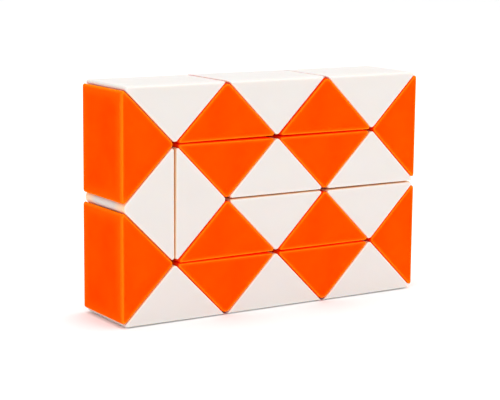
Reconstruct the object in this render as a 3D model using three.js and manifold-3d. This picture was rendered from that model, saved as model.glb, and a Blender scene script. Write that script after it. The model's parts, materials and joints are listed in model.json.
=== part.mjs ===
// Twisty snake puzzle: 24 hollow right-isosceles wedges in a chain, joined by 23 sprung pivots,
// folded into its flat block, three diamonds wide and two high, standing on a long edge.
//
// Part frame: millimetres, +Z up, +X along the block's long edge, the front face looks along -Y.
// The origin is the middle of the block's bottom face.
import * as THREE from "three";
import { mergeVertices } from "three/addons/utils/BufferGeometryUtils.js";
import Module from "manifold-3d";

const wasm = await Module();
wasm.setup();

// Driving dimensions
const CELL = 19; // side of the square on which two neighbouring wedges meet
const SEAM = 0.5; // clearance between the faces of neighbouring wedges
const WEDGE_COUNT = 24;

// The block: quarter turns of each pivot, from the first to the last. 0 leaves the two wedges as
// they lie in the straight bar, and 2 turns the next wedge right round.
const FOLD = "20000200200002200022000";
const FIRST_COLUMN = 6; // the first wedge's place on the half-diamond grid, counted from the left
const FIRST_ROW = 1; // and from the bottom
const BLOCK_COLUMNS = 6; // half diamonds across the block

// Wedge
const HALF = CELL / Math.SQRT2; // half of the long face, and the height of the wedge on it
const FACE_INSET = SEAM / 2;
const TIP_CUT = 1.3; // length cut from each thin tip
const APEX_RADIUS = 0.8;
const EDGE_BEVEL = 0.3;
const LEG_WALL = 1.4; // behind the two square faces
const LONG_WALL = 1.2; // behind the long face
const END_WALL = 1.5; // behind the two triangular faces
const CAVITY_TIP_CUT = 4.6;

// Pivot: pan-head screw, washer and spring in one wedge, threaded shank in the next one
const ROUND_SIDES = 10;
const SHANK_RADIUS = 0.9;
const BORE_RADIUS = 1.3;
const SPRING_RADIUS = 1.8;
const WASHER_RADIUS = 2.1;
const WASHER_THICKNESS = 0.4;
const HEAD_RADIUS = 1.5;
const HEAD_HEIGHT = 0.8;
const SPRING_START = 1.95; // distances from the plane on which the two wedges meet
const SPRING_END = 4.3;
const SHANK_REACH = 4.2;
const SHANK_POINT = 0.5;
const BOSS_RADIUS = 2.3;
const BOSS_LENGTH = 5.3;
const BOSS_BORE_DEPTH = 4.6;
const CUT_MARGIN = 1; // how far a cut runs past the skin it goes through

// Blanking plug in the unused square face of the first and of the last wedge
const PLUG_RADIUS = 3;
const PLUG_THICKNESS = 0.6;
const PLUG_SINK = 0.9; // depth of its seat
const PLUG_CLEARANCE = 0.35;
const PLUG_STEM_LENGTH = 2.4;

const ORANGE = new THREE.MeshStandardMaterial({ color: "#f4520c", roughness: 0.38, metalness: 0 });
const OFF_WHITE = new THREE.MeshStandardMaterial({ color: "#f0e9e0", roughness: 0.4, metalness: 0 });
const STEEL = new THREE.MeshStandardMaterial({ color: "#a9abad", roughness: 0.35, metalness: 0.9 });

// In a wedge's own frame the long face lies on z = 0 with its middle at the origin, x runs along
// it and the apex points to +z. The wedge before it in the chain meets the square face on the -x
// side, and the next wedge meets the one on the +x side.
const UP_OUT = new THREE.Vector3(1, 0, 1).normalize(); // normal of the face on the +x side
const UP_IN = new THREE.Vector3(-1, 0, 1).normalize(); // normal of the face on the -x side
const FACE_MIDDLE = HALF / Math.SQRT2; // from the middle of the long face to that of a square face

function solidOf(geometry) {
  const bare = new THREE.BufferGeometry();
  bare.setAttribute("position", geometry.getAttribute("position"));
  bare.setIndex(geometry.getIndex());
  const merged = mergeVertices(bare, 1e-4);
  return new wasm.Manifold(
    new wasm.Mesh({
      numProp: 3,
      vertProperties: new Float32Array(merged.getAttribute("position").array),
      triVerts: new Uint32Array(merged.getIndex().array),
    }),
  );
}

function geometryOf(solid) {
  const mesh = solid.getMesh();
  const geometry = new THREE.BufferGeometry();
  geometry.setAttribute("position", new THREE.BufferAttribute(mesh.vertProperties, 3));
  geometry.setIndex(new THREE.BufferAttribute(mesh.triVerts, 1));
  const faceted = geometry.toNonIndexed();
  faceted.computeVertexNormals();
  return faceted;
}

// An outline in x and z, extruded evenly to both sides of y = 0.
function prism(shape, length, bevel) {
  const geometry = new THREE.ExtrudeGeometry(shape, {
    depth: length - 2 * bevel,
    curveSegments: 2,
    bevelEnabled: bevel > 0,
    bevelThickness: bevel,
    bevelSize: bevel,
    bevelOffset: -bevel,
    bevelSegments: 1,
  });
  geometry.translate(0, 0, bevel - length / 2);
  geometry.rotateX(Math.PI / 2);
  return solidOf(geometry);
}

// A cylinder along a square face's normal, between two distances from the cell boundary,
// counted positive into the wedge.
function drill(normal, radius, from, to) {
  const geometry = new THREE.CylinderGeometry(radius, radius, to - from, ROUND_SIDES);
  geometry.applyQuaternion(
    new THREE.Quaternion().setFromUnitVectors(new THREE.Vector3(0, 1, 0), normal),
  );
  const middle = normal.clone().multiplyScalar(FACE_MIDDLE - (from + to) / 2);
  geometry.translate(middle.x, middle.y, middle.z);
  return solidOf(geometry);
}

function outerOutline() {
  const legSum = HALF - FACE_INSET * Math.SQRT2; // |x| + z on the two square faces
  const tip = HALF - TIP_CUT;
  const apexCentre = legSum - APEX_RADIUS * Math.SQRT2;
  const shape = new THREE.Shape();
  shape.moveTo(-tip, FACE_INSET);
  shape.lineTo(tip, FACE_INSET);
  shape.lineTo(tip, legSum - tip);
  shape.absarc(0, apexCentre, APEX_RADIUS, Math.PI / 4, (3 * Math.PI) / 4, false);
  shape.lineTo(-tip, legSum - tip);
  shape.closePath();
  return shape;
}

function cavityOutline() {
  const floor = FACE_INSET + LONG_WALL;
  const legSum = HALF - (FACE_INSET + LEG_WALL) * Math.SQRT2;
  const tip = HALF - CAVITY_TIP_CUT;
  const shape = new THREE.Shape();
  shape.moveTo(-tip, floor);
  shape.lineTo(tip, floor);
  shape.lineTo(tip, legSum - tip);
  shape.lineTo(0, legSum);
  shape.lineTo(-tip, legSum - tip);
  shape.closePath();
  return shape;
}

// One moulded wedge. plugSeat is the normal of a square face that gets a seat for a plug.
function wedgeGeometry(plugSeat) {
  const outer = prism(outerOutline(), CELL, EDGE_BEVEL);
  const boss = drill(UP_IN, BOSS_RADIUS, FACE_INSET, BOSS_LENGTH);
  const cavity = prism(cavityOutline(), CELL - 2 * END_WALL, 0).subtract(boss);
  let wedge = outer
    .subtract(cavity)
    .subtract(drill(UP_OUT, BORE_RADIUS, -CUT_MARGIN, FACE_INSET + LEG_WALL + CUT_MARGIN))
    .subtract(drill(UP_IN, BORE_RADIUS, -CUT_MARGIN, BOSS_BORE_DEPTH));
  if (plugSeat) {
    wedge = wedge.subtract(drill(plugSeat, PLUG_RADIUS, -CUT_MARGIN, FACE_INSET + PLUG_SINK));
  }
  return geometryOf(wedge);
}

// Turned about y, which points from the wedge that holds the spring into the next one.
function pivotGeometry() {
  const washerEnd = SPRING_END + WASHER_THICKNESS;
  const headEnd = washerEnd + HEAD_HEIGHT;
  const profile = [
    [0, -headEnd],
    [HEAD_RADIUS, -headEnd],
    [HEAD_RADIUS, -washerEnd],
    [WASHER_RADIUS, -washerEnd],
    [WASHER_RADIUS, -SPRING_END],
    [SPRING_RADIUS, -SPRING_END],
    [SPRING_RADIUS, -SPRING_START],
    [SHANK_RADIUS, -SPRING_START],
    [SHANK_RADIUS, SHANK_REACH - SHANK_POINT],
    [0, SHANK_REACH],
  ];
  return new THREE.LatheGeometry(
    profile.map(([r, y]) => new THREE.Vector2(r, y)),
    ROUND_SIDES,
  );
}

// Turned about y, which points out of the wedge; y = 0 is the cell boundary.
function plugGeometry() {
  const face = -FACE_INSET;
  const under = face - PLUG_THICKNESS;
  const profile = [
    [0, under - PLUG_STEM_LENGTH],
    [SHANK_RADIUS, under - PLUG_STEM_LENGTH],
    [SHANK_RADIUS, under],
    [PLUG_RADIUS - PLUG_CLEARANCE, under],
    [PLUG_RADIUS - PLUG_CLEARANCE, face],
    [0, face],
  ];
  return new THREE.LatheGeometry(
    profile.map(([r, y]) => new THREE.Vector2(r, y)),
    ROUND_SIDES,
  );
}

function named(geometry, material, name) {
  const mesh = new THREE.Mesh(geometry, material);
  mesh.name = name;
  return mesh;
}

// A mesh turned about y, stood in the middle of one of a wedge's square faces.
function onFace(geometry, material, name, normal) {
  const mesh = named(geometry, material, name);
  mesh.position.copy(normal).multiplyScalar(FACE_MIDDLE);
  mesh.quaternion.setFromUnitVectors(new THREE.Vector3(0, 1, 0), normal);
  return mesh;
}

const twoDigits = (number) => String(number).padStart(2, "0");

function snake() {
  const plain = wedgeGeometry(null);
  const first = wedgeGeometry(UP_IN);
  const last = wedgeGeometry(UP_OUT);
  const pivot = pivotGeometry();
  const plug = plugGeometry();

  // The first wedge's long face is the block's right side: its apex points along -X and its own x
  // axis points down.
  const chain = new THREE.Group();
  chain.position.set(
    (FIRST_COLUMN - BLOCK_COLUMNS / 2) * HALF,
    0,
    FIRST_ROW * HALF - FACE_INSET,
  );
  chain.quaternion.setFromRotationMatrix(
    new THREE.Matrix4().makeBasis(
      new THREE.Vector3(0, 0, -1),
      new THREE.Vector3(0, -1, 0),
      new THREE.Vector3(-1, 0, 0),
    ),
  );

  let link = chain;
  for (let number = 1; number <= WEDGE_COUNT; number++) {
    const geometry = number === 1 ? first : number === WEDGE_COUNT ? last : plain;
    const plastic = number % 2 ? ORANGE : OFF_WHITE;
    link.add(named(geometry, plastic, `wedge_${twoDigits(number)}`));
    if (number === 1) link.add(onFace(plug, plastic, "plug_first", UP_IN));
    if (number === WEDGE_COUNT) {
      link.add(onFace(plug, plastic, "plug_last", UP_OUT));
      break;
    }

    // The pivot stands in the middle of the square face and turns all that follows it.
    const turn = new THREE.Group();
    turn.position.copy(UP_OUT).multiplyScalar(FACE_MIDDLE);
    turn.quaternion.setFromAxisAngle(UP_OUT, (Number(FOLD[number - 1]) * Math.PI) / 2);
    link.add(turn);

    const screw = named(pivot, STEEL, `pivot_${twoDigits(number)}`);
    screw.quaternion.setFromUnitVectors(new THREE.Vector3(0, 1, 0), UP_OUT);
    turn.add(screw);

    // In the straight bar the next wedge lies upside down beside this one.
    const next = new THREE.Group();
    next.position.copy(UP_OUT).multiplyScalar(FACE_MIDDLE);
    next.rotation.x = Math.PI;
    turn.add(next);
    link = next;
  }

  const puzzle = new THREE.Group();
  puzzle.name = "twisty_snake_puzzle";
  puzzle.add(chain);
  return puzzle;
}

export default snake();
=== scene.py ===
"""Looks of the twisty snake puzzle: soft-edged moulded wedges on sprung pivots, folded into a block."""
import json
import math

import bmesh
import bpy
from mathutils import Matrix, Vector
from mathutils.geometry import tessellate_polygon


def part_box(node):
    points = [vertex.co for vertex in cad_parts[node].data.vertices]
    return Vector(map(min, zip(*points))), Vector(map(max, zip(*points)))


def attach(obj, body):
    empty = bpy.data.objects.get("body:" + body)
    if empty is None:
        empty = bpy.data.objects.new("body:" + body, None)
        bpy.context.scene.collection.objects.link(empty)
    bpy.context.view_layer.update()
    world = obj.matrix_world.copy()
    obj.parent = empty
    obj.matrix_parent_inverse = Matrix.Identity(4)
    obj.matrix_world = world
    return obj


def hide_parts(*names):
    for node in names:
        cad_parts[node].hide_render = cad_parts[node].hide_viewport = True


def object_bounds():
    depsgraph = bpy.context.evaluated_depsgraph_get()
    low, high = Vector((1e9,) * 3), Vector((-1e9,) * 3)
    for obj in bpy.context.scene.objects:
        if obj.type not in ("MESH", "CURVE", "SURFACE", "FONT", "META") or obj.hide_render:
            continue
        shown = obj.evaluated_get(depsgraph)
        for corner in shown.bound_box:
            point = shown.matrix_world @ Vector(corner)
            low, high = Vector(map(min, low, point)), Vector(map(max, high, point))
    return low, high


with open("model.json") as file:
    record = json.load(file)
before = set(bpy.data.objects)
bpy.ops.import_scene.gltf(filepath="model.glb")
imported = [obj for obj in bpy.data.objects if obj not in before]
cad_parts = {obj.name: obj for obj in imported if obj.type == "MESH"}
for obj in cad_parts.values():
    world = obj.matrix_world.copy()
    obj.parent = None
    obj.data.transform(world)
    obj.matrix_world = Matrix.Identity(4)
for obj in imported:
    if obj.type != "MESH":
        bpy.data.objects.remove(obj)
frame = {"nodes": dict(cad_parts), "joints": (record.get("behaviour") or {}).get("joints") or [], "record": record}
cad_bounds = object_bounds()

MM = 0.001
record = frame["record"]

# ---- sizes of one wedge, in millimetres, in its own frame -------------------------------------
# The long face lies on z = 0, x runs along it and the apex points to +z; y is the depth.
# The square face on the +x side meets the next wedge, and the one on the -x side the wedge before.
CELL = 19.0                       # side of a square face's cell
HALF = CELL / math.sqrt(2.0)      # half of the long face's cell
DEPTH = 19.0
CAD_INSET = 0.25                  # gap that the CAD wedge leaves to its cell's boundary
LONG_INSET = 0.13                 # the same for the moulded surface, on the long face
LEG_INSET = 0.1                   # and on the two square faces
LEG_ROUND = 0.26                  # rounding of the square faces' front and back edges
APEX_RADIUS = 0.9                 # of an apex between other wedges
OPEN_APEX_RADIUS = 1.5            # of an apex at the top or bottom of the block
TIP_RADIUS = 0.46                 # of a thin tip between other wedges
BLUNT_TIP_RADIUS = 0.6            # of a tip at a corner of the block, or on its left or right side
CLOSE_TIP_RADIUS = 0.12           # of the tips that meet along the block's top or bottom
LEAST_RADIUS = 0.05               # that a corner keeps when the outline is set in
# The long face's edges: rounding into the triangular face, and along the long face. It is larger
# on the outside of the block: on its top and bottom (level), and on its left and right (upright).
INNER_EDGE = (0.22, 0.6)
LEVEL_EDGE = (0.45, 1.3)
UPRIGHT_EDGE = (0.42, 1.1)
ROUND_STEPS = 5
CAP_LIGHT_REACH = 0.55                  # how far from an edge its painted highlight, a paler colour, reaches on a triangle,
SIDE_LIGHT_REACH = 3.1                  # how far on the sides,
TIP_LIGHT_REACH = 2.6                   # and how far from a thin tip
CAP_RINGS = (0.95, 1.9, 3.0)      # further outlines on a triangular face, by inset
SIDE_ROWS = (2.4, 3.4, 5.0)       # further rows on the sides, by distance from a triangular face
GAP_SHADE_START = 0.8                  # share of the painted gap shade, standing in for shade and bounced light in the gaps, where the rounding meets the side
GAP_SHADE_DEEP = 0.6                   # and further in, from where it fades out
BORE_RADIUS = 1.3
BORE_CHAMFER = 0.2
BORE_SIDES = 28
BLIND_DEPTH = 4.6                 # of the bore that takes the screw's thread
BOSS_RADIUS = 2.3
BOSS_LENGTH = 5.3
SEAT_RADIUS = 3.0
SEAT_DEPTH = 0.9
LEG_WALL = 1.4
LONG_WALL = 1.2
END_WALL = 1.5
CAVITY_TIP_CUT = 4.6
FACE_MIDDLE = CELL / 2.0          # from the middle of the long face's cell to that of a square face


def smooth_step(t):
    t = min(max(t, 0.0), 1.0)
    return t * t * (3.0 - 2.0 * t)


# ---- outline of the triangular face -----------------------------------------------------------
CORNERS = (                       # half of the angle, first and last normal, in degrees
    (22.5, -90.0, 45.0),
    (45.0, 45.0, 135.0),
    (22.5, 135.0, 270.0),
)
OUT_TIP, APEX, IN_TIP = 0, 1, 2   # the corners
LONG, OUT_LEG, IN_LEG = 0, 1, 2   # the edges, each before the corner of the same number
LONG_STATIONS = (0.03, 0.07, 0.12, 0.18, 0.3, 0.5, 0.7, 0.82, 0.88, 0.93, 0.97)
LEG_STATIONS = (0.06, 0.14, 0.26, 0.74, 0.86, 0.94)
HOLE_FROM, HOLE_TO = 0.26, 0.74   # the stretch of a leg that holds its bore
ARC_STEPS = (8, 6, 8)


def outline_stations():
    """(kind, number, value) round the outline, starting at the left end of the long face."""
    stations = []
    for edge, places in ((LONG, LONG_STATIONS), (OUT_LEG, LEG_STATIONS), (IN_LEG, LEG_STATIONS)):
        stations += [("edge", edge, t) for t in places]
        _, first, last = CORNERS[edge]
        steps = ARC_STEPS[edge]
        stations += [("arc", edge, first + (last - first) * k / steps) for k in range(steps + 1)]
    return stations


def station_normal(station):
    kind, number, value = station
    angle = math.radians(value if kind == "arc" else CORNERS[number][1])
    return Vector((math.cos(angle), math.sin(angle)))


def on_square_side(station):
    """Whether a station lies on one of the two square faces or on the apex between them."""
    kind, number, _ = station
    return number == APEX if kind == "arc" else number != LONG


class Outline:
    """The rounded triangle, which can be set in, and how far its edges are rounded off."""

    def __init__(self, radii, long_edge):
        self.radii = radii
        self.long_round, self.long_sweep = long_edge
        self.tips = [self.point(("arc", corner, sum(CORNERS[corner][1:]) / 2.0), 0.0)
                     for corner in (OUT_TIP, IN_TIP)]

    def corner_arc(self, corner, inset):
        """Centre and radius of a corner's rounding on the outline set in by inset."""
        kept = max(self.radii[corner] - inset, LEAST_RADIUS)
        half_angle = math.radians(CORNERS[corner][0])
        low = LONG_INSET + inset
        peak = HALF - (LEG_INSET + inset) * math.sqrt(2.0)
        reach = kept / math.sin(half_angle)
        if corner == APEX:
            return Vector((0.0, peak - reach)), kept
        side = 1.0 if corner == OUT_TIP else -1.0
        return Vector(((peak - low - reach * math.cos(half_angle)) * side, low + kept)), kept

    def point(self, station, inset):
        kind, number, value = station
        normal = station_normal(station)
        if kind == "arc":
            centre, radius = self.corner_arc(number, inset)
            return centre + normal * radius
        start_centre, start_radius = self.corner_arc((number - 1) % len(CORNERS), inset)
        end_centre, end_radius = self.corner_arc(number, inset)
        start = start_centre + normal * start_radius
        return start.lerp(end_centre + normal * end_radius, value)

    def rounding(self, station):
        """Into the triangular face, and along the side."""
        if on_square_side(station):
            return LEG_ROUND, LEG_ROUND
        share = smooth_step(-station_normal(station).y)
        return (LEG_ROUND + (self.long_round - LEG_ROUND) * share,
                LEG_ROUND + (self.long_sweep - LEG_ROUND) * share)

    def rim(self, flat, edge_share):
        """1 on an arris, 0 well inside a face; the thin tips count as edges further in. This masks the painted
        highlight: edges and thin tips get a lighter colour in place of light shining through and off them.
        """
        tip = min((flat - place).length for place in self.tips)
        return max(1.0 - edge_share, 1.0 - tip / TIP_LIGHT_REACH, 0.0)


# ---- mesh building ----------------------------------------------------------------------------
class Builder:
    """Collects vertices and faces. A curved face is shaded by its points' own normals."""

    def __init__(self):
        self.points, self.normals, self.faces, self.curved = [], [], [], []
        # Per point: how strongly the painted highlight on edges and the painted shade in the gaps are laid on.
        self.rims, self.seams = [], []

    def point(self, place, normal=None, rim=0.0, painted_gap_shade=0.0):
        self.points.append(Vector(place))
        self.normals.append(normal)
        self.rims.append(rim)
        self.seams.append(painted_gap_shade)
        return len(self.points) - 1

    def face(self, corners, curved=True):
        self.faces.append(list(corners))
        self.curved.append(curved)

    def strip(self, first, second, curved=False):
        """Quads between two closed rings of equal count."""
        count = len(first)
        for k in range(count):
            n = (k + 1) % count
            self.face((first[k], first[n], second[n], second[k]), curved)

    def holed(self, outer, hole):
        """The flat region between an outer loop and a hole in it."""
        index = list(outer) + list(hole)
        loops = [[self.points[k] for k in outer], [self.points[k] for k in hole]]
        for triangle in tessellate_polygon(loops):
            self.face(index[k] for k in triangle)

    def ring(self, radius, y, sides):
        """Points evenly round the y axis."""
        return [self.point((radius * math.cos(2.0 * math.pi * k / sides), y,
                            radius * math.sin(2.0 * math.pi * k / sides)))
                for k in range(sides)]

    def lathe(self, profile, sides):
        """A closed solid turned about y from (radius, y) pairs that start and end on the axis."""
        rings = [self.ring(radius, y, sides) for radius, y in profile[1:-1]]
        for upper, lower in zip(rings, rings[1:]):
            self.strip(upper, lower)
        self.face(rings[0], False)
        self.face(rings[-1], False)

    def mesh(self, name):
        shape = bmesh.new()
        verts = [shape.verts.new(place * MM) for place in self.points]
        layer = shape.faces.layers.int.new("curved")
        for corners, curved in zip(self.faces, self.curved):
            shape.faces.new([verts[k] for k in corners])[layer] = int(curved)
        bmesh.ops.recalc_face_normals(shape, faces=shape.faces)
        made = bpy.data.meshes.new(name)
        shape.to_mesh(made)
        shape.free()
        made.shade_smooth()
        curved = [item.value for item in made.attributes["curved"].data]
        loops = []
        for polygon in made.polygons:
            for corner in polygon.vertices:
                own = self.normals[corner] if curved[polygon.index] else None
                loops.append(own if own is not None else polygon.normal.copy())
        made.normals_split_custom_set(loops)
        made.attributes.remove(made.attributes["curved"])
        # Both marks of painted light go to the mesh as point attributes.
        for label, values in (("rim", self.rims), ("painted_gap_shade", self.seams)):
            made.attributes.new(label, "FLOAT", "POINT").data.foreach_set("value", values)
        return made


def skin(build, outline, inside):
    """The rounded outside of a wedge. Returns the loops left open round each square face's bore.

    inside says that the long face lies inside the block, against another wedge's.
    """
    stations = outline_stations()
    count = len(stations)
    flats = [outline.point(s, 0.0) for s in stations]
    # Sides hidden inside the block get painted shade and bounced colour near the triangular faces.
    hidden = [inside or on_square_side(s) for s in stations]

    def rounded(step, side):
        angle = math.radians(90.0 * step / ROUND_STEPS)
        row = []
        for station, flat, covered in zip(stations, flats, hidden):
            inward, along = outline.rounding(station)
            normal = station_normal(station)
            spot = outline.point(station, inward * (1.0 - math.cos(angle)))
            depth = along * (1.0 - math.sin(angle))
            tilt = Vector((normal.x * math.cos(angle) / inward, side * math.sin(angle) / along,
                           normal.y * math.cos(angle) / inward)).normalized()
            # Each point of the rounding carries the painted edge highlight and, on hidden sides, painted gap
            # shade.
            row.append(build.point((spot.x, side * (DEPTH / 2.0 - depth), spot.y), tilt,
                                   outline.rim(flat, depth / SIDE_LIGHT_REACH),
                                   GAP_SHADE_START * (1.0 - step / ROUND_STEPS) if covered else 0.0))
        return row

    def straight(distance, side):
        # Painted gap shade on hidden sides, fading out further in; the painted edge highlight fades out too.
        deep = GAP_SHADE_DEEP * (
            1.0 - smooth_step((distance - SIDE_ROWS[0]) / (SIDE_ROWS[-1] - SIDE_ROWS[0])))
        return [
            build.point((flat.x, side * (DEPTH / 2.0 - distance), flat.y),
                        Vector((station_normal(s).x, 0.0, station_normal(s).y)),
                        outline.rim(flat, distance / SIDE_LIGHT_REACH), deep if covered else 0.0)
            for s, flat, covered in zip(stations, flats, hidden)
        ]

    # The triangular faces' rings carry the painted edge highlight near their outline.
    caps = []
    for side in (1.0, -1.0):
        rings = []
        for inset in reversed(CAP_RINGS):
            ring = []
            for station in stations:
                spot = outline.point(station, inset)
                ring.append(build.point((spot.x, side * DEPTH / 2.0, spot.y),
                                        Vector((0.0, side, 0.0)),
                                        outline.rim(spot, inset / CAP_LIGHT_REACH)))
            rings.append(ring)
        caps.append(rings)

    rows = list(caps[0])          # from the back triangular face (y > 0) to the front one
    rows += [rounded(step, 1.0) for step in range(ROUND_STEPS, -1, -1)]
    rows += [straight(distance, 1.0) for distance in SIDE_ROWS]
    rows += [straight(DEPTH / 2.0, 1.0)]
    rows += [straight(distance, -1.0) for distance in reversed(SIDE_ROWS)]
    rows += [rounded(step, -1.0) for step in range(0, ROUND_STEPS + 1)]
    rows += list(reversed(caps[1]))
    middle = len(rows) // 2

    open_loops = {}
    skipped = set()
    for leg in (OUT_LEG, IN_LEG):
        first = stations.index(("edge", leg, HOLE_FROM))
        last = stations.index(("edge", leg, HOLE_TO))
        skipped |= {(row, k) for row in (middle - 1, middle) for k in range(first, last)}
        top, low = rows[middle - 1], rows[middle + 1]
        loop = [top[k] for k in range(first, last + 1)] + [rows[middle][last]]
        loop += [low[k] for k in range(last, first - 1, -1)] + [rows[middle][first]]
        open_loops[leg] = loop

    build.face(reversed(rows[0]))
    for row in range(len(rows) - 1):
        for k in range(count):
            if (row, k) in skipped:
                continue
            n = (k + 1) % count
            build.face((rows[row][k], rows[row][n], rows[row + 1][n], rows[row + 1][k]))
    build.face(rows[-1])
    return open_loops


def leg_axes(leg):
    """Outward normal of a square face, and the direction along it."""
    slope = 1.0 if leg == OUT_LEG else -1.0
    out = Vector((slope, 0.0, 1.0)).normalized()
    return out, Vector((-slope, 0.0, 1.0)).normalized()


def circle(build, leg, radius, depth):
    """A ring round a square face's middle, depth below the cell boundary."""
    out, along = leg_axes(leg)
    centre = out * (FACE_MIDDLE - depth)
    across = out.cross(along)
    ring = []
    for k in range(BORE_SIDES):
        angle = 2.0 * math.pi * k / BORE_SIDES
        ring.append(build.point(centre + along * (radius * math.cos(angle))
                                + across * (radius * math.sin(angle))))
    return ring


def wedge_mesh(name, seat_leg, shape):
    """A hollow wedge: a rounded skin, a cavity, a bore through one leg and a blind one in a boss."""
    build = Builder()
    radii, long_edge = shape
    loops = skin(build, Outline(radii, long_edge), long_edge is INNER_EDGE)
    peak = HALF - (CAD_INSET + LEG_WALL) * math.sqrt(2.0)
    low = CAD_INSET + LONG_WALL
    tip = HALF - CAVITY_TIP_CUT
    cavity = [(-tip, low), (tip, low), (tip, peak - tip), (0.0, peak), (-tip, peak - tip)]
    deep = DEPTH / 2.0 - END_WALL
    back = [build.point((x, deep, z)) for x, z in cavity]
    front = [build.point((x, -deep, z)) for x, z in cavity]
    build.face(back, False)
    build.face(list(reversed(front)), False)
    for k in (0, 1, 4):           # all but the two sides that have bores
        n = (k + 1) % len(cavity)
        build.face((back[n], back[k], front[k], front[n]), False)

    for leg in (OUT_LEG, IN_LEG):
        wide = SEAT_RADIUS if leg == seat_leg else BORE_RADIUS
        rings = [circle(build, leg, wide + BORE_CHAMFER, LEG_INSET),
                 circle(build, leg, wide, LEG_INSET + BORE_CHAMFER)]
        if leg == seat_leg:
            rings += [circle(build, leg, wide, CAD_INSET + SEAT_DEPTH),
                      circle(build, leg, BORE_RADIUS, CAD_INSET + SEAT_DEPTH)]
        wall = CAD_INSET + LEG_WALL
        rings.append(circle(build, leg, BORE_RADIUS, wall if leg == OUT_LEG else BLIND_DEPTH))
        build.holed(loops[leg], rings[0])
        for upper, lower in zip(rings, rings[1:]):
            build.strip(upper, lower)
        k, n = (2, 3) if leg == OUT_LEG else (3, 4)
        corners = (back[n], back[k], front[k], front[n])
        if leg == OUT_LEG:
            build.holed(corners, rings[-1])
        else:
            build.face(rings[-1], False)
            outer = circle(build, leg, BOSS_RADIUS, wall)
            end = circle(build, leg, BOSS_RADIUS, BOSS_LENGTH)
            build.holed(corners, outer)
            build.strip(end, outer)
            build.face(list(reversed(end)), False)
    return build.mesh(name)


# ---- pivot: pan-head screw with its washer and spring, turned about y -------------------------
# y = 0 is the plane on which two wedges meet, and +y points into the wedge that holds the thread.
SHANK_RADIUS = 0.9
THREAD_DEPTH = 0.16
THREAD_PITCH = 0.6
SHANK_REACH = 4.2
SPRING_START, SPRING_END = 1.95, 4.3
SPRING_WIRE = 0.22
SPRING_RADIUS = 1.8
SPRING_TURNS = 4.5
WASHER_RADIUS, WASHER_THICKNESS = 2.1, 0.4
WASHER_PLAY = 0.08                # round the shank
WASHER_EDGE = 0.05
HEAD_RADIUS, HEAD_HEIGHT = 1.5, 0.8
HEAD_START = 28.0                 # where the head's curve leaves the recess, in degrees
HEAD_STEPS = 6
HEAD_GAP = 0.02                   # between the head and the washer
RECESS_DEPTH, RECESS_FLOOR, RECESS_MOUTH = 0.35, 0.45, 0.5
THREAD_START, THREAD_RUN_OUT = 0.6, 0.5
POINT_LENGTH, POINT_RADIUS = 0.45, 0.25
TURNED_SIDES = 24
COIL_STEPS = 20                   # of one turn of the spring
WIRE_SIDES = 8
END_TURNS = 0.55                  # share of the rise that is bunched at the spring's ends


def screw_profile():
    """(radius, y) from the bottom of the recess in the head to the point."""
    washer = SPRING_END + WASHER_THICKNESS
    top = washer + HEAD_HEIGHT
    root = SHANK_RADIUS - THREAD_DEPTH
    profile = [(0.0, -top + RECESS_DEPTH), (RECESS_FLOOR, -top + RECESS_DEPTH),
               (RECESS_MOUTH, -top)]
    for step in range(HEAD_STEPS + 1):
        angle = math.radians(HEAD_START + (90.0 - HEAD_START) * step / HEAD_STEPS)
        profile.append((HEAD_RADIUS * math.sin(angle), -washer - HEAD_HEIGHT * math.cos(angle)))
    profile += [(HEAD_RADIUS, -washer - HEAD_GAP), (SHANK_RADIUS, -washer - HEAD_GAP)]
    y = THREAD_START
    profile.append((SHANK_RADIUS, y))
    while y + THREAD_PITCH < SHANK_REACH - THREAD_RUN_OUT:
        profile += [(root, y + THREAD_PITCH / 2.0), (SHANK_RADIUS, y + THREAD_PITCH)]
        y += THREAD_PITCH
    return profile + [(root, SHANK_REACH - POINT_LENGTH), (POINT_RADIUS, SHANK_REACH),
                      (0.0, SHANK_REACH)]


def add_washer(build):
    hole = SHANK_RADIUS + WASHER_PLAY
    far, near = -SPRING_END - WASHER_THICKNESS, -SPRING_END
    ring = [(hole, far), (WASHER_RADIUS - WASHER_EDGE, far), (WASHER_RADIUS, far + WASHER_EDGE),
            (WASHER_RADIUS, near - WASHER_EDGE), (WASHER_RADIUS - WASHER_EDGE, near),
            (hole, near)]
    circles = [build.ring(radius, y, TURNED_SIDES) for radius, y in ring]
    for upper, lower in zip(circles, circles[1:] + circles[:1]):
        build.strip(upper, lower)


def add_spring(build):
    steps = int(SPRING_TURNS * COIL_STEPS)
    coil_radius = SPRING_RADIUS - SPRING_WIRE
    rise = SPRING_END - SPRING_START - 2.0 * SPRING_WIRE
    coils = []
    for step in range(steps + 1):
        share = step / steps
        angle = 2.0 * math.pi * SPRING_TURNS * share
        settled = smooth_step(share)          # end turns lie closer, as on a squared spring
        y = -SPRING_END + SPRING_WIRE + rise * ((1.0 - END_TURNS) * share + END_TURNS * settled)
        radial = Vector((math.cos(angle), 0.0, math.sin(angle)))
        coils.append([])
        for k in range(WIRE_SIDES):
            turn = 2.0 * math.pi * k / WIRE_SIDES
            out = radial * math.cos(turn) + Vector((0.0, math.sin(turn), 0.0))
            place = radial * coil_radius + Vector((0.0, y, 0.0)) + out * SPRING_WIRE
            coils[-1].append(build.point(place, out))
    for upper, lower in zip(coils, coils[1:]):
        build.strip(upper, lower, True)
    build.face(coils[0], False)
    build.face(coils[-1], False)


def pivot_mesh(name):
    build = Builder()
    build.lathe(screw_profile(), TURNED_SIDES)
    add_washer(build)
    add_spring(build)
    return build.mesh(name)


# ---- blanking plug, turned about y, which points out of the wedge -----------------------------
PLUG_RADIUS = 2.65
PLUG_THICKNESS = 0.6
PLUG_STEM = 2.4
STEM_CHAMFER = 0.15
PLUG_RIM = ((0.0, 0.18), (0.05, 0.06), (0.16, 0.0))    # how far in from the edge, and how deep
PLUG_SIDES = 40


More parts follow.
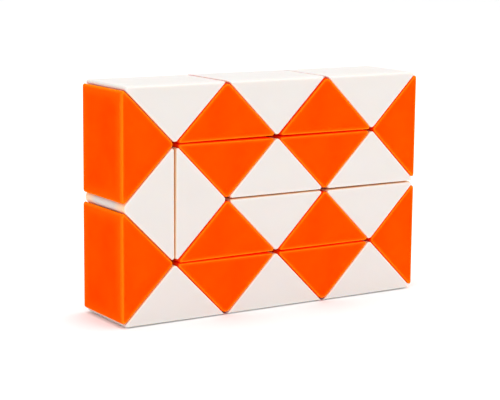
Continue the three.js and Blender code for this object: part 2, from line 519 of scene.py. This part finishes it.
def plug_mesh(name):
    build = Builder()
    face = -CAD_INSET
    under = face - PLUG_THICKNESS
    end = under - PLUG_STEM
    rim = [(PLUG_RADIUS - inward, face - deep) for inward, deep in PLUG_RIM]
    build.lathe([(0.0, end), (SHANK_RADIUS - STEM_CHAMFER, end), (SHANK_RADIUS, end + STEM_CHAMFER),
                 (SHANK_RADIUS, under), (PLUG_RADIUS, under), *rim, (0.0, face)], PLUG_SIDES)
    return build.mesh(name)


# ---- materials --------------------------------------------------------------------------------
DEPTH_SHARE = 0.45                # of the light that goes into the plastic and comes out nearby
DEPTH_SCALE = 0.0018              # metres
CLOUD_SCALE, WEAR_SCALE, GRAIN_SCALE, STEEL_SCALE = 90.0, 260.0, 1700.0, 900.0
CLOUD_RANGE = (0.3, 0.7)          # the part of a noise's values that is stretched to the full range
EDGE_LIGHT_FULL = 0.85                  # the rim value from which the painted edge highlight is full,
TIP_LIGHT_START = 0.72                  # and from which the painted tip highlight begins
ROUGHNESS_SWING = 0.05
GRAIN_STRENGTH, GRAIN_HEIGHT = 0.12, 0.00004


def plastic(name, base, deep, pale, tip, painted_gap_shade, depth_colour, specular, roughness):
    """Satin moulded plastic: slight clouding, a fine grain, paler edges and tips as painted highlight, and a
    deeper colour on the hidden sides by the gaps as painted shade and bounced light.
    """
    made = bpy.data.materials.new(name)
    made.use_nodes = True
    nodes, links = made.node_tree.nodes, made.node_tree.links
    shader = nodes["Principled BSDF"]
    place = nodes.new("ShaderNodeTexCoord")

    def cloud(scale, detail):
        made_noise = nodes.new("ShaderNodeTexNoise")
        made_noise.inputs["Scale"].default_value = scale
        made_noise.inputs["Detail"].default_value = detail
        links.new(place.outputs["Object"], made_noise.inputs["Vector"])
        return made_noise.outputs["Fac"]

    def blend(low, high, factor):
        mix = nodes.new("ShaderNodeMix")
        mix.data_type = "RGBA"
        for socket, colour in ((mix.inputs["A"], low), (mix.inputs["B"], high)):
            if isinstance(colour, tuple):
                socket.default_value = (*colour, 1.0)
            else:
                links.new(colour, socket)
        links.new(factor, mix.inputs["Factor"])
        return mix.outputs["Result"]

    def remap(value, low, high, to_low, to_high):
        ramp = nodes.new("ShaderNodeMapRange")
        for socket, number in zip(("From Min", "From Max", "To Min", "To Max"),
                                  (low, high, to_low, to_high)):
            ramp.inputs[socket].default_value = number
        links.new(value, ramp.inputs["Value"])
        return ramp.outputs["Result"]

    def mark(label):
        made_mark = nodes.new("ShaderNodeAttribute")
        made_mark.attribute_name = label
        return made_mark.outputs["Fac"]

    body = blend(deep, base, remap(cloud(CLOUD_SCALE, 3.0), *CLOUD_RANGE, 0.0, 1.0))
    # Painted highlight: a lighter colour near edges and a still lighter one near thin tips, standing in for light
    # shining through and off them.
    rim = mark("rim")
    edge_lit = blend(body, pale, remap(rim, 0.0, EDGE_LIGHT_FULL, 0.0, 1.0))
    edge_lit = blend(edge_lit, tip, remap(rim, TIP_LIGHT_START, 1.0, 0.0, 1.0))
    # Painted shade: the hidden sides near the triangular faces take a deeper colour, or an orange tint on the
    # off-white, for shade and bounced light in the gaps.
    links.new(blend(edge_lit, painted_gap_shade, mark("painted_gap_shade")), shader.inputs["Base Color"])
    links.new(remap(cloud(WEAR_SCALE, 4.0), *CLOUD_RANGE, roughness - ROUGHNESS_SWING,
                    roughness + ROUGHNESS_SWING), shader.inputs["Roughness"])
    shader.inputs["Specular IOR Level"].default_value = specular
    shader.inputs["Subsurface Weight"].default_value = DEPTH_SHARE
    shader.inputs["Subsurface Radius"].default_value = depth_colour
    shader.inputs["Subsurface Scale"].default_value = DEPTH_SCALE
    bump = nodes.new("ShaderNodeBump")
    bump.inputs["Strength"].default_value = GRAIN_STRENGTH
    bump.inputs["Distance"].default_value = GRAIN_HEIGHT
    links.new(cloud(GRAIN_SCALE, 2.0), bump.inputs["Height"])
    links.new(bump.outputs["Normal"], shader.inputs["Normal"])
    return made


def steel(name):
    made = bpy.data.materials.new(name)
    made.use_nodes = True
    nodes, links = made.node_tree.nodes, made.node_tree.links
    shader = nodes["Principled BSDF"]
    shader.inputs["Base Color"].default_value = (0.56, 0.57, 0.59, 1.0)
    shader.inputs["Metallic"].default_value = 1.0
    place = nodes.new("ShaderNodeTexCoord")
    marks = nodes.new("ShaderNodeTexNoise")
    marks.inputs["Scale"].default_value = STEEL_SCALE
    links.new(place.outputs["Object"], marks.inputs["Vector"])
    rough = nodes.new("ShaderNodeMapRange")
    rough.inputs["To Min"].default_value = 0.22
    rough.inputs["To Max"].default_value = 0.42
    links.new(marks.outputs["Fac"], rough.inputs["Value"])
    links.new(rough.outputs["Result"], shader.inputs["Roughness"])
    return made


# Each plastic's pale and tip colours are painted highlight. Its last colour is painted shade: deeper red on the
# orange, and an orange tint of bounced light on the off-white.
ORANGE = plastic("orange plastic", base=(0.985, 0.068, 0.0), deep=(0.98, 0.05, 0.0),
                 pale=(0.99, 0.094, 0.001), tip=(1.0, 0.18, 0.004), painted_gap_shade=(1.0, 0.016, 0.0),
                 depth_colour=(1.0, 0.25, 0.05), specular=0.0, roughness=0.42)
OFF_WHITE = plastic("off-white plastic", base=(0.64, 0.61, 0.583), deep=(0.63, 0.598, 0.568),
                    pale=(0.65, 0.622, 0.597), tip=(0.67, 0.648, 0.618), painted_gap_shade=(0.95, 0.62, 0.32),
                    depth_colour=(1.0, 0.62, 0.4), specular=0.3, roughness=0.42)
STEEL = steel("zinc-plated steel")
FINISH = {"orange_plastic": ORANGE, "off_white_plastic": OFF_WHITE, "pivot_steel": STEEL}


# ---- placing the pieces -----------------------------------------------------------------------
body_of = {node: body for body, members in record["behaviour"]["bodies"].items()
           for node in members}
slot_of = {row["node"]: row["material_slot"] for row in record["subparts"]}
hinges = {joint["name"]: Vector(joint["pos_m"]) for joint in frame["joints"]}
WEDGES = sorted(node for node in body_of if node.startswith("wedge_"))
FLAT_SIDE = 1.0 * MM              # points this close to a side of a wedge's box count as on it
OPEN_SIDE = 1.5 * MM              # a wedge this close to a side of the block lies open to it


def add(name, mesh, place, node):
    """A piece that stands for a CAD node, with the node's body and finish."""
    mesh.materials.append(FINISH[slot_of[node]])
    made = bpy.data.objects.new(name, mesh)
    made.matrix_world = place
    bpy.context.scene.collection.objects.link(made)
    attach(made, body_of[node])
    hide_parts(node)
    return made


def apex_direction(node):
    """The way a wedge's apex points: away from the side of its box on which it is widest."""
    low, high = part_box(node)
    spots = [v.co for v in frame["nodes"][node].data.vertices]
    widest, direction = 0.0, None
    for axis, other in ((0, 2), (2, 0)):
        for sign, edge in ((1.0, low[axis]), (-1.0, high[axis])):
            near = [p[other] for p in spots if abs(p[axis] - edge) < FLAT_SIDE]
            if max(near) - min(near) > widest:
                widest = max(near) - min(near)
                direction = Vector((0.0, 0.0, 0.0))
                direction[axis] = sign
    return direction


def wedge_frame(number):
    """Matrix from a wedge's own frame to the CAD frame."""
    node = WEDGES[number]
    low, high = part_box(node)
    up = apex_direction(node)
    origin = (low + high) / 2.0
    axis = 0 if up.x else 2
    origin[axis] = (low if up[axis] > 0.0 else high)[axis] - up[axis] * CAD_INSET * MM
    along = Vector((up.z, 0.0, up.x))
    if number + 1 < len(WEDGES):
        toward = hinges[f"hinge_{number + 1:02d}"] - origin
    else:
        toward = origin - hinges[f"hinge_{number:02d}"]
    if along.dot(toward) < 0.0:
        along = -along
    across = up.cross(along)
    turn = Matrix((along, across, up)).transposed().to_4x4()
    return Matrix.Translation(origin) @ turn


def shape_of(number):
    """Corner radii and long edges, from where a wedge lies in the block."""
    node = WEDGES[number]
    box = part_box(node)
    up = apex_direction(node)
    axis = 0 if up.x else 2
    foot = 0 if up[axis] > 0.0 else 1

    def is_open(direction, end):
        return abs(box[end][direction] - cad_bounds[end][direction]) < OPEN_SIDE

    if not is_open(axis, foot):
        apex = OPEN_APEX_RADIUS if is_open(axis, 1 - foot) else APEX_RADIUS
        return (TIP_RADIUS, apex, TIP_RADIUS), INNER_EDGE
    if axis == 0:
        return (BLUNT_TIP_RADIUS, APEX_RADIUS, BLUNT_TIP_RADIUS), UPRIGHT_EDGE
    tips = [BLUNT_TIP_RADIUS if is_open(0, end) else CLOSE_TIP_RADIUS for end in (0, 1)]
    if wedge_frame(number).col[0].x > 0.0:
        tips.reverse()
    return (tips[0], APEX_RADIUS, tips[1]), LEVEL_EDGE


# Small errors of assembly, as on a puzzle folded by hand: each wedge's tilt in degrees in the
# plane of its triangular faces, and its shift in hundredths of a millimetre along X, Y and Z.
EASE = (
    (0.05, 2, 6, 0), (-0.12, 0, -4, 2), (0.04, 0, 3, -4), (-0.1, 1, 8, -1), (0.27, 0, 2, -3),
    (0.1, -1, -6, 1), (-0.08, -3, 5, 2), (-0.2, -2, -3, 0), (0.06, -2, 2, 3), (0.1, 1, -7, 2),
    (-0.32, 0, -16, 9), (0.08, 1, -2, 3), (0.2, 1, -35, 6), (-0.06, -2, -5, 2), (0.08, 2, 3, 1),
    (0.12, 1, -3, 4), (-0.18, 2, 5, -6), (0.05, 6, -6, 2), (0.25, 10, 7, -4), (0.22, 14, -2, 0),
    (-0.28, 12, -30, 6), (-0.06, 7, -4, -2), (0.03, 0, -28, 6), (-0.1, 0, 2, -5),
)


def eased(number):
    tilt, *shift = EASE[number]
    return (Matrix.Translation(Vector(shift) * 0.01 * MM)
            @ Matrix.Rotation(math.radians(tilt), 4, "Y"))


def standing(leg):
    """Matrix from the frame of a turned piece on a square face to the wedge's own frame."""
    out, _ = leg_axes(leg)
    upright = Vector((0.0, 1.0, 0.0)).rotation_difference(out).to_matrix().to_4x4()
    return Matrix.Translation(out * FACE_MIDDLE * MM) @ upright


for number, node in enumerate(WEDGES):
    place = wedge_frame(number)
    centre = Matrix.Translation(place.translation)
    settled = centre @ eased(number) @ centre.inverted() @ place
    seat = IN_LEG if number == 0 else OUT_LEG if number == len(WEDGES) - 1 else None
    add(f"shell_{number + 1:02d}", wedge_mesh(node, seat, shape_of(number)), settled, node)
    if number + 1 < len(WEDGES):
        add(f"screw_{number + 1:02d}", pivot_mesh(node), place @ standing(OUT_LEG),
            f"pivot_{number + 1:02d}")
    if seat is not None:
        end = "first" if seat == IN_LEG else "last"
        add(f"cap_{end}", plug_mesh(node), settled @ standing(seat), f"plug_{end}")


# ---- floor, light and camera ------------------------------------------------------------------
scene = bpy.context.scene
low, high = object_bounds()

SPREAD = 4.0                      # metres from the middle of the floor to its sides
FLOOR_DROP = 0.0002               # keeps the floor just clear of the wedges
floor_mesh = bpy.data.meshes.new("floor")
floor_mesh.from_pydata([(-SPREAD, -SPREAD, 0.0), (SPREAD, -SPREAD, 0.0), (SPREAD, SPREAD, 0.0),
                        (-SPREAD, SPREAD, 0.0)], [], [(0, 1, 2, 3)])
floor_finish = bpy.data.materials.new("pale floor")
floor_finish.use_nodes = True
floor_shader = floor_finish.node_tree.nodes["Principled BSDF"]
floor_shader.inputs["Base Color"].default_value = (0.93, 0.93, 0.93, 1.0)
floor_shader.inputs["Roughness"].default_value = 0.8
floor_shader.inputs["Specular IOR Level"].default_value = 0.1
floor_mesh.materials.append(floor_finish)
floor = bpy.data.objects.new("floor", floor_mesh)
floor.location.z = -FLOOR_DROP
scene.collection.objects.link(floor)

world = bpy.data.worlds.new("studio")
scene.world = world
world.use_nodes = True
world.node_tree.nodes["Background"].inputs["Color"].default_value = (1.0, 1.0, 1.0, 1.0)
world.node_tree.nodes["Background"].inputs["Strength"].default_value = 1.0

middle = Vector((0.0, 0.0, (low[2] + high[2]) / 2.0))


def softbox(name, place, size, power, target=middle):
    data = bpy.data.lights.new(name, "AREA")
    data.shape = "RECTANGLE"
    data.size, data.size_y = size
    data.energy = power
    made = bpy.data.objects.new(name, data)
    made.location = place
    made.rotation_euler = (target - Vector(place)).to_track_quat("-Z", "Y").to_euler()
    scene.collection.objects.link(made)


softbox("overhead softbox", (0.1, 0.1, 1.1), (1.2, 1.2), 6.0)
softbox("front softbox", (0.35, -1.2, 0.5), (1.0, 0.8), 5.0)

SENSOR, LENS = 36.0, 112.4        # millimetres
CAMERA_PLACE = (-194.41, -306.12, 87.63)
CAMERA_ANGLES = (32.8, -9.538, 0.616)    # heading, slope and roll, in degrees
LIGHT_BOUNCES = 24                # enough for light to find its way into the thin seams

camera_data = bpy.data.cameras.new("camera")
camera_data.sensor_width = SENSOR
camera_data.lens = LENS
camera_data.shift_x = -0.0298
camera_data.shift_y = -0.0236
camera = bpy.data.objects.new("camera", camera_data)
scene.collection.objects.link(camera)
heading, slope, roll = (math.radians(angle) for angle in CAMERA_ANGLES)
ahead = Vector((math.sin(heading) * math.cos(slope), math.cos(heading) * math.cos(slope),
                math.sin(slope)))
right = ahead.cross(Vector((0.0, 0.0, 1.0))).normalized()
up = right.cross(ahead)
right, up = (right * math.cos(roll) + up * math.sin(roll),
             up * math.cos(roll) - right * math.sin(roll))
turn = Matrix((right, up, -ahead)).transposed().to_4x4()
camera.matrix_world = Matrix.Translation(Vector(CAMERA_PLACE) * MM) @ turn
scene.camera = camera
scene.view_settings.view_transform = "Standard"
scene.cycles.diffuse_bounces = LIGHT_BOUNCES
scene.cycles.max_bounces = LIGHT_BOUNCES
